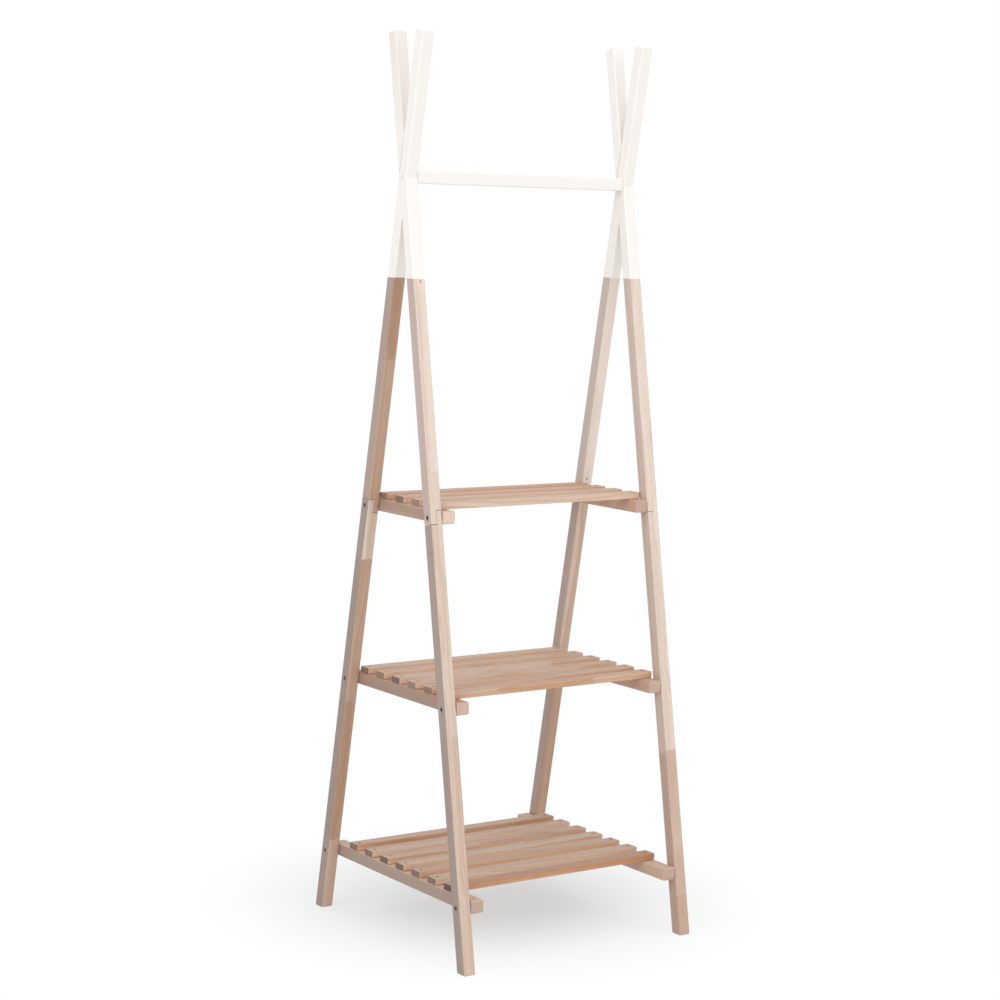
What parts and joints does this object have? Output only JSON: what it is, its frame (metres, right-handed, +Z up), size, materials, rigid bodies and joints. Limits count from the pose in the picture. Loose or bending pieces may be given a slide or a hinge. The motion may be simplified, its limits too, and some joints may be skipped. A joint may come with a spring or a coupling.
{
  "type": "clothes rack",
  "caption": "Freestanding wooden clothes rack with a crossed leg frame at each end, white-painted tops, a square hanging bar between the crossings and slatted shelves below.",
  "frame": {"origin": "on the floor, at the middle of the rack's footprint", "axes": "+Z up; X along the hanging bar and the slats; -Y is the front"},
  "size_m": [0.526, 0.5304, 1.7015],
  "materials": {
    "beech": "finger-jointed solid beech, sanded and thinly oiled",
    "white_paint": "white paint on wood, satin",
    "zinc_steel": "zinc-plated steel"
  },
  "bodies": {
    "root": {"left_rear_lower_leg": "beech", "left_rear_upper_leg": "beech", "left_front_lower_leg": "beech", "left_front_upper_leg": "beech", "right_rear_lower_leg": "beech", "right_rear_upper_leg": "beech", "right_front_lower_leg": "beech", "right_front_upper_leg": "beech", "left_bottom_rail": "beech", "left_middle_rail": "beech", "left_top_rail": "beech", "right_bottom_rail": "beech", "right_middle_rail": "beech", "right_top_rail": "beech", "bottom_slat_1": "beech", "bottom_slat_2": "beech", "bottom_slat_3": "beech", "bottom_slat_4": "beech", "bottom_slat_5": "beech", "bottom_slat_6": "beech", "bottom_slat_7": "beech", "middle_slat_1": "beech", "middle_slat_2": "beech", "middle_slat_3": "beech", "middle_slat_4": "beech", "middle_slat_5": "beech", "middle_slat_6": "beech", "top_slat_1": "beech", "top_slat_2": "beech", "top_slat_3": "beech", "top_slat_4": "beech", "hanging_bar": "white_paint", "left_rear_bottom_bolt": "zinc_steel", "left_rear_middle_bolt": "zinc_steel", "left_rear_top_bolt": "zinc_steel", "left_front_bottom_bolt": "zinc_steel", "left_front_middle_bolt": "zinc_steel", "left_front_top_bolt": "zinc_steel", "right_rear_bottom_bolt": "zinc_steel", "right_rear_middle_bolt": "zinc_steel", "right_rear_top_bolt": "zinc_steel", "right_front_bottom_bolt": "zinc_steel", "right_front_middle_bolt": "zinc_steel", "right_front_top_bolt": "zinc_steel", "left_bar_bolt": "zinc_steel", "right_bar_bolt": "zinc_steel", "left_rear_bottom_insert": "zinc_steel", "left_rear_middle_insert": "zinc_steel", "left_rear_top_insert": "zinc_steel", "left_front_bottom_insert": "zinc_steel", "left_front_middle_insert": "zinc_steel", "left_front_top_insert": "zinc_steel", "right_rear_bottom_insert": "zinc_steel", "right_rear_middle_insert": "zinc_steel", "right_rear_top_insert": "zinc_steel", "right_front_bottom_insert": "zinc_steel", "right_front_middle_insert": "zinc_steel", "right_front_top_insert": "zinc_steel", "left_bar_insert": "zinc_steel", "right_bar_insert": "zinc_steel"}
  },
  "joints": []
}
